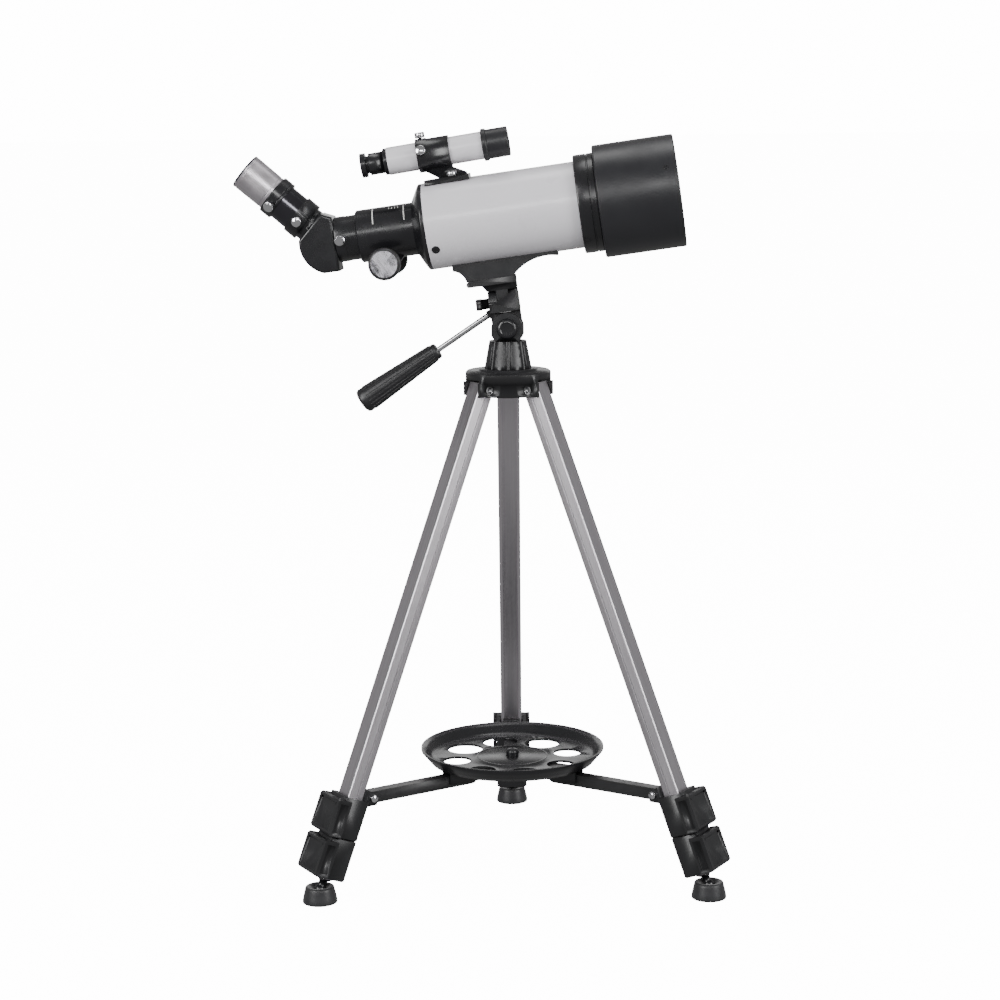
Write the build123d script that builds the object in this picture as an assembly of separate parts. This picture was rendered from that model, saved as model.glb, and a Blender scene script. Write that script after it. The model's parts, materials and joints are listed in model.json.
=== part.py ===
from build123d import *
from math import atan, cos, degrees, pi, radians, sin, tan
import os

# A 70 mm travel refractor on a small three-leg tripod, drawn collapsed and ready to use.
# Millimetres and degrees. +Z is up, the origin is on the floor under the pan axis, and the
# objective points towards +X. Dimensions that can be set by themselves come first.

# --- fits -------------------------------------------------------------------------------
turn_gap = 0.2            # radial gap of a pin or shaft that turns
slide_gap = 0.3           # gap between nested leg tubes and between moving faces
press_gap = 0.05          # gap around a piece that is pressed or glued in

# --- legs -------------------------------------------------------------------------------
leg_azimuths = (90, 210, 330)
leg_angle = 21.4          # lean from the vertical
leg_length = 457.0        # hub bolt to foot ball, collapsed
leg_pivot_r = 28.2        # hub bolt from the pan axis
leg_offset = 1.2          # the tubes lie this much inside the line from bolt to ball
leg_width = 20.0          # outer tube across the leg
leg_depth = 16.0          # outer tube, radial
leg_wall = 1.2
leg_corner = 3.0
leg_top = 4.0             # tube above the bolt
leg_bolt_r = 2.5
leg_head_r = 3.6
leg_head_t = 2.2
clamp_side = 4.5          # clamp wall beside the tube
clamp_inner = 4.2         # clamp wall on the inner side
clamp_outer = 5.5         # clamp wall on the lever side
clamp_length = 36.0
clamp_lip = 4.0           # lower lip that closes on the next tube
clamp_space = 0.6         # between the two clamps of a collapsed leg
lever_t = 6.5
lever_w = 24.0            # between the clamp's ears
lever_wing_t = 3.0        # side wings of a lever, outside its clamp
lever_wing_depth = 13.5
lever_frame = 3.4         # raised border round the sunk panels of a lever
lever_ear_r = 3.0
lever_pin_r = 1.5
lever_drop = 5.0          # lever pin below the top of its clamp
lever_pin_out = 2.6       # and outside its outer face
stem_length = 3.0         # lower tube to the thin end of the foot stem's cone
stem_r = 3.2
stem_bare = 9.5           # stem from its cone to the middle of the ball
foot_ball_z = 11.0
foot_ball_r = 5.2
foot_height = 14.5
foot_top_r = 12.2
foot_bottom_r = 15.2
foot_mouth_r = 9.5

# --- hub --------------------------------------------------------------------------------
hub_r = 37.5
hub_rise = 15.0           # hub bolt to the top of the flange
hub_drop = 6.0            # hub bolt to the bottom of the panels
hub_flange_t = 9.0
hub_panel_r = 35.5
pocket_gap = 1.0          # each side of a leg in its pocket
pocket_roof = 8.2         # hub bolt to the pocket's roof
cheek_t = 3.5
cheek_reach = 37.0        # outer end of the cheeks from the pan axis
hub_step_r = 26.0
hub_step_t = 1.5
spindle_r = 6.0

# --- spreader, braces and tray ----------------------------------------------------------
brace_bolt_z = 86.9       # outer brace rivet above the floor
brace_rise = 1.2          # slope of a brace towards the middle
brace_inner_r = 45.0      # where a brace ends, under the spreader
brace_size = 10.6
lug_t = 2.6               # lugs on each side of a brace's outer end
lug_web = 6.0             # lugs below the top of their clamp
brace_rivet_r = 2.0
brace_rivet_head_r = 3.2
spreader_r = 34.0
spreader_arm_r = 68.0
spreader_wall = 1.2
spreader_skirt = 12.0
spreader_roof_gap = 3.0   # above a brace, in its channel
channel_gap = 1.0         # each side of a brace, in its channel
channel_end_r = 32.0
tray_rim_r = 82.2
tray_floor_r = 72.5
tray_depth = 12.2
tray_wall = 2.0
tray_hub_r = 33.0
tray_hub_t = 0.8
tray_hole_ring_r = 50.8
eyepiece_hole_r = 16.0    # three holes for 1.25 inch eyepieces
small_hole_r = 12.4       # five holes for 0.965 inch eyepieces
tray_first_hole = 12.5    # azimuth of the first of eight holes
tray_knob_r = 5.6
tray_knob_t = 7.0
tray_stud_r = 3.0

# --- pan and tilt head ------------------------------------------------------------------
pan_rest = -3.0           # the objective end is turned this much towards -Y
tilt_rest = 7.7           # and raised by this much
collar_h = 24.0
collar_bottom_r = 20.8
collar_top_r = 16.4
flute_count = 8
flute_r = 3.0
yoke_w = 27.6
yoke_t = 24.0
yoke_slot = 12.0
yoke_straight = 6.2       # tilt bolt to the lower corner of the cheeks
yoke_drop = 11.3          # tilt bolt to the top of the collar
neck_in = 4.0             # round neck under the yoke, inside its sides
neck_h = 7.0              # and inside the collar
tilt_bolt_r = 3.0
tilt_cap_r = 9.0
tilt_cap_t = 3.2
tongue_r = 10.4
neck_left = 12.8          # neck behind the tilt bolt
neck_right = 13.4         # and in front of it
neck_shoulder = 15.0      # bottom of the wide part of the neck
flip_v = 23.0             # flip pin above the tilt bolt
flip_ear_r = 10.7
flip_lug_r = 9.0
flip_lug_half = 5.2
flip_pin_r = 2.5
flip_knob_length = 11.0
flip_knob_h = 9.3
flip_knob_w = 18.0
handle_drop = 26.3        # handle below the tube's axis direction
handle_offset = 18.3      # handle axis from the tilt bolt
rod_r = 2.5
handle_boss_r = 3.8
handle_boss_end = 8.0
rod_start = 1.0           # the rod's threaded end, inside the neck
grip_start = 61.6         # from the point of the handle axis nearest the tilt bolt
grip_length = 82.0
grip_r0 = 7.25
grip_r1 = 11.15
platform_v = 44.8         # top face of the platform
platform_t = 5.2
platform_back = 29.5
platform_half = 13.0

# --- optical tube -----------------------------------------------------------------------
saddle_h = 14.5           # top of the platform to the belly of the tube
tube_r = 37.5
tube_wall = 1.2
tube_back = -56.0
tube_front = 76.6
cell_step = 5.2           # objective cell beyond the tube
cell_length = 17.2
cell_spigot = 8.0
aperture_step = 2.5       # lens inside the tube's outer radius
lens_edge = 5.0
lens_bulge = 2.6
shield_step = 5.95        # dew shield beyond the cell
shield_length = 70.5
shield_wall = 2.2
saddle_back = -39.5
saddle_front = 53.0
saddle_block_back = -29.0
saddle_block_front = 12.2
saddle_half = 12.0
saddle_tip = 3.6
rear_ring = 3.6
rear_cone = 7.6
focuser_wall = 3.3        # housing beyond the drawtube
focuser_length = 49.8
drawtube_step = 3.625     # drawtube beyond the diagonal's nose
drawtube_wall = 3.5
drawtube_show = 19.0      # drawtube outside the housing when racked in
drawtube_inside = 62.0
drawtube_screw_in = 4.5   # clamp screw from the drawtube's end
focus_travel = 40.0
focus_axle_back = -95.0
focus_axle_step = 2.2     # axle below the housing
focus_axle_r = 2.0
focus_knob_r = 13.5
focus_knob_t = 10.0
focus_knob_step = 15.2    # outer face of a focus knob beyond the housing
focus_hub_r = 6.0         # stub between a focus knob and the housing
focus_hub_t = 6.0
rack_h = 1.6              # rack below the drawtube
rack_w = 5.0
rack_extra = 6.0          # rack beyond the travel at both ends
tooth_pitch = 1.6
screw_head_r = 4.3
screw_head_t = 5.0
screw_shank_r = 1.5
head_gap = 1.0            # under the head of a thumbscrew

# --- diagonal and eyepiece --------------------------------------------------------------
nose_r = 15.875           # 1.25 inch push fit
nose_length = 24.0
bend_back = 7.3           # drawtube end to the bend
eyepiece_angle = 48.0     # eyepiece axis from the tube axis
diagonal_wall = 1.125     # diagonal housing beyond the nose
neck_start = 20.0         # prism housing to its round neck, along the eyepiece axis
holder_start = 25.0
holder_end = 37.0
holder_wall = 1.725
diagonal_screw_along = 6.0     # clamp screw from the start of the holder
diagonal_screw_swing = 8.0     # and round it, from the near side
socket_floor = 1.0        # of the holder, under the eyepiece barrel
barlow_collar_start = 53.0
barlow_collar_end = 64.0
barlow_collar_wall = 2.125
barlow_screw_along = 5.0
barlow_screw_swing = 24.0
eyepiece_end = 95.4
eyepiece_step = 0.425     # eyepiece body beyond its barrel
eyecup_t = 1.6

# --- finder -----------------------------------------------------------------------------
finder_rise = 24.0        # finder axis above the top of the tube
finder_tilt = 1.3
finder_ring_back = -55.6
finder_ring_front = -27.1
finder_ring_wall = 1.8
finder_tube_r = 12.0
finder_tube_wall = 1.2
finder_tube_back = -81.7
finder_tube_front = 1.4
finder_lip_step = 2.0     # hood's lip and hood beyond the finder's tube
finder_hood_step = 0.8
finder_hood_lip = 4.1
finder_hood_end = 24.3
finder_cap_step = 0.5     # rear cap inside the tube's outer radius
finder_cap_t = 3.5
finder_barrel_step = 2.5
finder_eye_step = 1.5
finder_eye_back = -105.5
finder_foot_back = -53.0
finder_foot_front = -14.0
finder_foot_half = 15.0
finder_post_half = 5.0
finder_nut_r = 4.8
finder_nut_t = 4.2

# --- worked out from the sizes above ----------------------------------------------------
tube_v = platform_v + saddle_h + tube_r              # tube axis above the tilt bolt
cell_r = tube_r + cell_step
aperture_r = tube_r - aperture_step
shield_r = cell_r + shield_step
drawtube_r = nose_r + drawtube_step
focuser_r = drawtube_r + focuser_wall
focus_axle_drop = focuser_r + focus_axle_step
focus_knob_face = focuser_r + focus_knob_step
diagonal_half = nose_r + diagonal_wall
holder_r = nose_r + holder_wall
barlow_collar_r = nose_r + barlow_collar_wall
eyepiece_r = nose_r + eyepiece_step
finder_v = tube_r + finder_rise
finder_ring_r = finder_tube_r + finder_ring_wall
finder_hood_lip_r = finder_tube_r + finder_lip_step
finder_hood_r = finder_tube_r + finder_hood_step
finder_cap_r = finder_tube_r - finder_cap_step
finder_barrel_r = finder_tube_r - finder_barrel_step
finder_eye_r = finder_tube_r - finder_eye_step
leg_pivot_z = foot_ball_z + leg_length * cos(radians(leg_angle))
leg_in = -leg_offset - leg_depth / 2                 # inner face of the outer tube, from the hub bolt
brace_leg_x = leg_in - clamp_inner - brace_size / 2 - 2 * slide_gap    # brace rivet, in the leg's frame
brace_bolt_r = leg_pivot_r + brace_leg_x / cos(radians(leg_angle)) \
    + (leg_pivot_z - brace_bolt_z) * tan(radians(leg_angle))
brace_leg_drop = (brace_bolt_r - leg_pivot_r) * sin(radians(leg_angle)) \
    + (leg_pivot_z - brace_bolt_z) * cos(radians(leg_angle))
hub_top = leg_pivot_z + hub_rise
hub_bottom = leg_pivot_z - hub_drop
flange_bottom = hub_top - hub_flange_t
collar_z = hub_top + hub_step_t + slide_gap
tilt_z = collar_z + collar_h + yoke_drop
HEAD = Pos(0, 0, tilt_z) * Rot(0, 0, pan_rest) * Rot(0, -tilt_rest, 0)
TUBE = HEAD * Pos(0, 0, tube_v)
drawtube_end = tube_back - rear_ring - rear_cone - focuser_length - drawtube_show
BEND = TUBE * Pos(drawtube_end - bend_back, 0, 0)
EYE = BEND * Rot(0, -(180 - eyepiece_angle), 0)      # local X runs out along the eyepiece axis
HANDLE = HEAD * Rot(0, -(180 + handle_drop), 0) * Pos(0, 0, -handle_offset)
finder_ring_mid = (finder_ring_back + finder_ring_front) / 2
FINDER = TUBE * Pos(finder_ring_mid, 0, finder_v) * Rot(0, -finder_tilt, 0) * Pos(-finder_ring_mid, 0, 0)
leg_mid_width = leg_width - 2 * (leg_wall + slide_gap)
leg_mid_depth = leg_depth - 2 * (leg_wall + slide_gap)
leg_low_width = leg_mid_width - 2 * (leg_wall + slide_gap)
leg_low_depth = leg_mid_depth - 2 * (leg_wall + slide_gap)
low_clamp_end = leg_length - stem_length - stem_bare
low_clamp_start = low_clamp_end - clamp_length
clamp_end = low_clamp_start - clamp_space
clamp_start = clamp_end - clamp_length
lever_pin_x = leg_depth / 2 - leg_offset + clamp_outer + lever_pin_out
tray_z = brace_bolt_z + (brace_bolt_r - brace_inner_r) * tan(radians(brace_rise)) \
    + brace_size / 2 + spreader_roof_gap + spreader_wall + slide_gap
spreader_top = tray_z - slide_gap
cell_front = tube_front + cell_length
housing_back = tube_back - rear_ring - rear_cone
focuser_back = housing_back - focuser_length
rack_drop = drawtube_r + rack_h
pinion_r = focus_axle_drop - rack_drop - turn_gap


# --- shared shapes ----------------------------------------------------------------------
def turned(*points):
    """Solid turned about Z from the (radius, height) points of its half section."""
    return revolve(Plane.XZ * make_face(Polyline(*points, close=True)), Axis.Z)


def lathed(*points):
    """Solid turned about X from the (x, radius) points of its half section."""
    return revolve(Plane.XZ * make_face(Polyline(*points, close=True)), Axis.X)


def rod_x(x0, x1, radius):
    """Cylinder along X between two places."""
    return Pos((x0 + x1) / 2, 0, 0) * Rot(0, 90, 0) * Cylinder(radius, abs(x1 - x0))


def rod_y(y0, y1, radius):
    """Cylinder along Y between two places."""
    return Pos(0, (y0 + y1) / 2, 0) * Rot(90, 0, 0) * Cylinder(radius, abs(y1 - y0))


def sleeve_x(x0, x1, outer, inner):
    """Round tube along X between two places."""
    return rod_x(x0, x1, outer) - rod_x(x0 - 1, x1 + 1, inner)


def block(x0, x1, y0, y1, z0, z1):
    """Box between two corners."""
    return Pos((x0 + x1) / 2, (y0 + y1) / 2, (z0 + z1) / 2) * Box(x1 - x0, y1 - y0, z1 - z0)


def slab(half, *points):
    """Plate of an XZ outline, equally thick on both sides of Y = 0."""
    return extrude(Plane.XZ * make_face(Polyline(*points, close=True)), half, both=True)


def lens(x, radius, edge, bulge):
    """Double convex lens about X, its rear rim at x."""
    curve = (radius ** 2 + bulge ** 2) / (2 * bulge)
    front = Pos(x + edge + bulge - curve, 0, 0) * Sphere(curve)
    back = Pos(x - bulge + curve, 0, 0) * Sphere(curve)
    return rod_x(x - bulge, x + edge + bulge, radius) & front & back


def thumbscrew(reach, depth):
    """Screw along +X: the shank starts at depth, the knurled head sits on x = reach."""
    head = rod_x(reach, reach + screw_head_t, screw_head_r)
    head = chamfer(head.edges().filter_by(GeomType.CIRCLE), 0.6)
    return rod_x(depth, reach, screw_shank_r) + head


# --- legs -------------------------------------------------------------------------------
def leg_place(azimuth):
    """Frame of a leg: origin on the hub bolt, X outwards, Z up along the leg."""
    return Rot(0, 0, azimuth) * Pos(leg_pivot_r, 0, leg_pivot_z) * Rot(0, -leg_angle, 0)


def leg_bar(depth, width, corner, start, end):
    """Solid bar of a leg's section between two distances below the hub bolt."""
    section = RectangleRounded(depth, width, corner)
    return Pos(-leg_offset, 0, -end) * extrude(section, end - start)


def leg_profile(depth, width, start, end):
    """Hollow extrusion of a leg's section."""
    inner = leg_bar(depth - 2 * leg_wall, width - 2 * leg_wall, leg_corner - leg_wall, start - 1, end + 1)
    return leg_bar(depth, width, leg_corner, start, end) - inner


def leg_tube():
    """Outer tube and the plug pressed into its top, both drilled for the hub bolt."""
    gap = 2 * (leg_wall + press_gap)
    tube = leg_profile(leg_depth, leg_width, -leg_top, clamp_end - clamp_lip)
    plug = leg_bar(leg_depth - gap, leg_width - gap, leg_corner - leg_wall, -leg_top, leg_top + 10)
    hole = rod_y(-leg_width, leg_width, leg_bolt_r + turn_gap)
    return Compound([tube - hole, plug - hole])


def clamp_shell(start, end, depth, width, next_depth, next_width, outer_depth, outer_width):
    """Clamp around a tube, with a lip that closes on the next tube and two lever ears."""
    x0 = -leg_offset - outer_depth / 2 - clamp_inner
    x1 = -leg_offset + outer_depth / 2 + clamp_outer
    half = outer_width / 2 + clamp_side
    body = block(x0, x1, -half, half, -end, -start)
    body = chamfer(body.edges().filter_by(Axis.Z), 2.5)
    body = chamfer(body.edges().group_by(Axis.Z)[0], 1.0)
    body -= leg_bar(depth + 2 * press_gap, width + 2 * press_gap, leg_corner, start - 1, end - clamp_lip)
    body -= leg_bar(next_depth + 2 * slide_gap, next_width + 2 * slide_gap, leg_corner, start, end + 1)
    pin_z = -start - lever_drop
    ear = block(x1 - 1, lever_pin_x, lever_w / 2 + slide_gap, half, pin_z - lever_ear_r, pin_z + lever_ear_r)
    ear += Pos(lever_pin_x, 0, pin_z) * rod_y(lever_w / 2 + slide_gap, half, lever_ear_r)
    for ears in (ear, mirror(ear, Plane.XZ)):
        body += ears
    return body - Pos(lever_pin_x, 0, pin_z) * rod_y(-half - 1, half + 1, lever_pin_r)


def leg_clamp():
    """Clamp on the outer tube, with the two lugs that carry the brace rivet."""
    body = clamp_shell(clamp_start, clamp_end, leg_depth, leg_width, leg_mid_depth, leg_mid_width,
                       leg_depth, leg_width)
    x, s = brace_leg_x, brace_leg_drop
    inner_face = leg_in - clamp_inner
    outline = ((x - 4.5, -s + 4), (x - 4.5, -s - 5), (inner_face + 1, -clamp_start - lug_web),
               (inner_face + 1, -s + 5))
    lug_in = brace_size / 2 + slide_gap
    lugs = slab(lug_in + lug_t, *outline) - slab(lug_in, *outline)
    strap = slab(lug_in + lug_t, (inner_face + 0.4, -clamp_start - lug_web), (inner_face + 0.4, -s + 5),
                 (leg_in - press_gap, -s + 5), (leg_in - press_gap, -clamp_start))
    body += [lugs, strap - leg_bar(leg_depth, leg_width, leg_corner, clamp_start - 40, clamp_end)]
    body -= leg_bar(leg_depth + 2 * press_gap, leg_width + 2 * press_gap, leg_corner,
                    clamp_start - 40, clamp_end - clamp_lip)
    return body - Pos(x, 0, -s) * rod_y(-20, 20, brace_rivet_r)


def leg_mid_clamp():
    """Clamp on the middle tube, the same width outside as the upper one."""
    return clamp_shell(low_clamp_start, low_clamp_end, leg_mid_depth, leg_mid_width,
                       leg_low_depth, leg_low_width, leg_depth, leg_width)


def clamp_lever(start):
    """Flip lever closed against the clamp that starts there: a plate, two side wings and the pin."""
    pin_z = -start - lever_drop
    low, high = -start - clamp_length + 0.8, pin_z + 2.2
    face = -leg_offset + leg_depth / 2 + clamp_outer + slide_gap
    outside = face + lever_t
    near = leg_width / 2 + clamp_side + slide_gap
    far = near + lever_wing_t
    under_ears = pin_z - lever_ear_r - slide_gap
    over_ears = lever_pin_x + lever_ear_r + slide_gap
    body = block(outside - lever_wing_depth, outside, -far, far, low, high)
    body = chamfer(body.edges().filter_by(Axis.Y).group_by(Axis.X)[-1], 1.8)
    body -= block(outside - lever_wing_depth - 1, face, -near, near, low - 1, high + 1)
    inner_top = [edge for edge in body.edges().filter_by(Axis.Y)
                 if abs(edge.center().X - face) < 0.1 and abs(edge.center().Z - high) < 0.1]
    body = chamfer(inner_top, 1.8)
    ear_room = block(face - 1, over_ears, lever_w / 2, near, under_ears, high + 1)
    body -= [ear_room, mirror(ear_room, Plane.XZ)]
    panel = block(outside - 0.9, outside + 1, lever_frame - far, far - lever_frame, low + lever_frame,
                  high - lever_frame)
    side = block(outside - lever_wing_depth + lever_frame - 1, outside - lever_frame, far - 0.8, far + 1,
                 low + lever_frame, high - lever_frame)
    body -= [panel, side, mirror(side, Plane.XZ)]
    return body + Pos(lever_pin_x, 0, pin_z) * rod_y(-far + 1, far - 1, lever_pin_r - press_gap)


def leg_mid_tube():
    return leg_profile(leg_mid_depth, leg_mid_width, leg_top + 14, low_clamp_end - clamp_lip)


def leg_lower_tube():
    """Lower tube, and the end plug that tapers into the foot's ball stem."""
    tube = leg_profile(leg_low_depth, leg_low_width, leg_top + 22, low_clamp_end + 1.5)
    cone_end = low_clamp_end + 1.5 + stem_length
    plug = loft([Pos(-leg_offset, 0, -low_clamp_end - 1.5) * RectangleRounded(leg_low_depth, leg_low_width, 2),
                 Pos(0, 0, -cone_end) * RectangleRounded(2 * stem_r, 2 * stem_r, stem_r * 0.9)])
    stem = Pos(0, 0, -(cone_end + leg_length) / 2 + 0.5) * Cylinder(stem_r, leg_length - cone_end + 1)
    ball = Pos(0, 0, -leg_length) * Sphere(foot_ball_r)
    return Compound([tube, plug + stem + ball])


def foot(azimuth):
    """Rubber pad that stands level on the floor, with a socket for the ball."""
    pad = turned((0, 0), (foot_bottom_r, 0), (foot_bottom_r, 2.5), (foot_top_r + 1, foot_height - 2),
                 (foot_top_r - 0.5, foot_height), (0, foot_height))
    mouth = turned((0, foot_ball_z), (foot_ball_r, foot_ball_z), (foot_mouth_r, foot_height + 1),
                   (0, foot_height + 1))
    pad -= [mouth, Pos(0, 0, foot_ball_z) * Sphere(foot_ball_r + turn_gap)]
    reach = leg_pivot_r + leg_length * sin(radians(leg_angle))
    return Rot(0, 0, azimuth) * Pos(reach, 0, 0) * pad


# --- hub --------------------------------------------------------------------------------
def hub():
    """Flange and three panels, with a pocket between two cheeks for each leg."""
    body = turned((0, flange_bottom), (hub_r, flange_bottom), (hub_r, hub_top - 1.5),
                  (hub_r - 1.5, hub_top), (hub_step_r, hub_top), (hub_step_r, hub_top + hub_step_t),
                  (0, hub_top + hub_step_t))
    body += turned((0, hub_bottom), (hub_panel_r - 1, hub_bottom), (hub_panel_r, hub_bottom + 1),
                   (hub_panel_r, flange_bottom), (0, flange_bottom))
    half = leg_width / 2 + pocket_gap
    inner = leg_pivot_r - leg_offset - leg_depth / 2 - 3.5
    for azimuth in leg_azimuths:
        turn = Rot(0, 0, azimuth)
        body += turn * block(inner, cheek_reach, -half - cheek_t, half + cheek_t, hub_bottom, flange_bottom)
    for azimuth in leg_azimuths:
        turn = Rot(0, 0, azimuth)
        bolt = Pos(leg_pivot_r, 0, leg_pivot_z)
        body -= turn * block(inner, hub_r + 9, -half, half, hub_bottom - 1, leg_pivot_z + pocket_roof)
        body -= turn * bolt * rod_y(-hub_r, hub_r, leg_bolt_r + press_gap)
        for side in (1, -1):
            face = half + cheek_t
            body -= turn * bolt * rod_y(side * face, side * (face + 15), leg_head_r + 0.4)
    bottom_plug = Pos(0, 0, hub_bottom) * Cylinder(11, 8)
    return body - Pos(0, 0, leg_pivot_z) * Cylinder(spindle_r + turn_gap, 60) - bottom_plug


def leg_bolts():
    """Three bolts through the hub's cheeks, each with a domed head at both ends."""
    half = leg_width / 2 + pocket_gap + cheek_t
    bolts = []
    for azimuth in leg_azimuths:
        shank = rod_y(-half - leg_head_t, half + leg_head_t, leg_bolt_r)
        heads = rod_y(half, half + leg_head_t, leg_head_r) + rod_y(-half - leg_head_t, -half, leg_head_r)
        socket = rod_y(half + 1, half + 5, 1.6) + rod_y(-half - 5, -half - 1, 1.6)
        bolts.append(Rot(0, 0, azimuth) * Pos(leg_pivot_r, 0, leg_pivot_z) * (shank + heads - socket))
    return Compound([bolt.solid() for bolt in bolts])


# --- spreader, braces and tray ----------------------------------------------------------
def brace(azimuth):
    """Channel bar from the leg's lugs to the spreader, with its outer rivet."""
    half = brace_size / 2
    length = (brace_bolt_r - brace_inner_r) / cos(radians(brace_rise))
    bar = block(-length, 0, -half, half, -half, half)
    bar += [rod_y(-half, half, half), Pos(-length, 0, 0) * rod_y(-half, half, half)]
    bar -= block(-length + 4, -8, -half + 1.8, half - 1.8, -half - 1, half - 1.8)
    head = half + slide_gap + lug_t
    bar -= rod_y(-half - 1, half + 1, brace_rivet_r)
    rivet = rod_y(-head - 1.4, head + 1.4, brace_rivet_r - press_gap)
    rivet += [rod_y(head + 0.1, head + 1.4, brace_rivet_head_r),
              rod_y(-head - 1.4, -head - 0.1, brace_rivet_head_r)]
    place = Rot(0, 0, azimuth) * Pos(brace_bolt_r, 0, brace_bolt_z) * Rot(0, brace_rise, 0)
    return Compound([(place * bar).solid(), (place * rivet).solid()])


def spreader():
    """Round block with three arms under the tray; each arm covers the end of a brace."""
    top, low = spreader_top, spreader_top - spreader_skirt
    roof = top - spreader_wall
    body = turned((0, low), (spreader_r - 1, low), (spreader_r, low + 1), (spreader_r, top), (0, top))
    half = brace_size / 2 + channel_gap
    arm = block(0, spreader_arm_r, -half - spreader_wall, half + spreader_wall, low, top)
    channel = block(channel_end_r, spreader_arm_r + 1, -half, half, low - 1, roof)
    body += [Rot(0, 0, azimuth) * arm for azimuth in leg_azimuths]
    body -= [Rot(0, 0, azimuth) * channel for azimuth in leg_azimuths]
    body -= turned((10, low - 1), (channel_end_r - 6, low - 1), (channel_end_r - 6, roof), (10, roof))
    return body - Pos(0, 0, top) * Cylinder(tray_stud_r + turn_gap, 60)


def tray():
    """Accessory tray: sloping rim, eight holes and a raised middle."""
    bottom, floor, rim = tray_z, tray_z + tray_wall, tray_z + tray_depth
    body = turned((0, bottom), (tray_floor_r + 1, bottom), (tray_rim_r, rim - 2), (tray_rim_r, rim),
                  (tray_rim_r - tray_wall, rim), (tray_floor_r - 1, floor), (tray_hub_r + 1, floor),
                  (tray_hub_r, floor + tray_hub_t), (0, floor + tray_hub_t))
    for index in range(8):
        radius = eyepiece_hole_r if index in (1, 2, 3) else small_hole_r
        turn = Rot(0, 0, tray_first_hole + 45 * index)
        body -= turn * Pos(tray_hole_ring_r, 0, bottom) * Cylinder(radius, 20)
    return body - Pos(0, 0, bottom) * Cylinder(tray_stud_r + turn_gap, 20)


def tray_knob():
    """Domed knob with the stud that holds the tray on the spreader."""
    seat = tray_z + tray_wall + tray_hub_t
    head = Pos(0, 0, seat + tray_knob_t / 2) * Cylinder(tray_knob_r, tray_knob_t)
    head = fillet(head.edges().group_by(Axis.Z)[-1], 2.5)
    low = spreader_top - spreader_skirt + 0.5
    return head + Pos(0, 0, (low + seat) / 2) * Cylinder(tray_stud_r, seat - low)


# --- pan and tilt head ------------------------------------------------------------------
def pan_collar():
    """Fluted cone that locks the pan axis."""
    bore = spindle_r + 0.5
    neck = yoke_w / 2 - neck_in + slide_gap
    step = collar_z + collar_h - neck_h - slide_gap
    body = turned((bore, collar_z), (collar_bottom_r, collar_z), (collar_top_r, collar_z + collar_h),
                  (neck, collar_z + collar_h), (neck, step), (bore, step))
    lean = degrees(atan((collar_bottom_r - collar_top_r) / collar_h))
    middle = (collar_bottom_r + collar_top_r) / 2
    for index in range(flute_count):
        cutter = Rot(0, -lean, 0) * Cylinder(flute_r, 3 * collar_h)
        place = Pos(middle + flute_r * 0.55, 0, collar_z + collar_h / 2)
        body -= Rot(0, 0, 360 / flute_count * index) * place * cutter
    return body


def pan_yoke():
    """Forked head on a spindle that turns in the hub; its bottom washer keeps it there."""
    half = yoke_w / 2
    foot_w = half - 3.4
    cheeks = slab(yoke_t / 2, (-foot_w, -yoke_drop), (foot_w, -yoke_drop), (half, -yoke_straight),
                  (half, 0), (-half, 0), (-half, -yoke_straight)) + rod_y(-yoke_t / 2, yoke_t / 2, half)
    cheeks -= block(-half, half, -yoke_t, yoke_t, -half - 1, -yoke_drop)
    cheeks -= block(-half - 1, half + 1, -yoke_slot / 2, yoke_slot / 2, -yoke_drop + 0.2, half + 1)
    cheeks -= rod_y(-yoke_t, yoke_t, tilt_bolt_r + press_gap)
    neck = Pos(0, 0, -yoke_drop - (neck_h - 0.2) / 2) * Cylinder(half - neck_in, neck_h + 0.2)
    bottom = hub_bottom + 1 - tilt_z
    spindle = Pos(0, 0, (bottom - yoke_drop) / 2) * Cylinder(spindle_r, -yoke_drop - bottom)
    washer = Pos(0, 0, bottom + 1.2) * Cylinder(9.5, 2.4) - Pos(0, 0, bottom) * Cylinder(spindle_r + press_gap, 9)
    place = Pos(0, 0, tilt_z) * Rot(0, 0, pan_rest)
    return Compound([(place * (cheeks + neck + spindle)).solid(), (place * washer).solid()])


def tilt_bolt():
    """Bolt across the yoke with a round cap in front and a nut behind."""
    half = yoke_t / 2
    cap = chamfer(rod_y(-half - tilt_cap_t, -half, tilt_cap_r).edges().group_by(Axis.Y)[0], 1.0)
    nut = Pos(0, half, 0) * Rot(-90, 0, 0) * extrude(RegularPolygon(6, 6), 2.6)
    place = Pos(0, 0, tilt_z) * Rot(0, 0, pan_rest)
    return place * (rod_y(-half, half + 2.6, tilt_bolt_r) + cap + nut)


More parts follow.
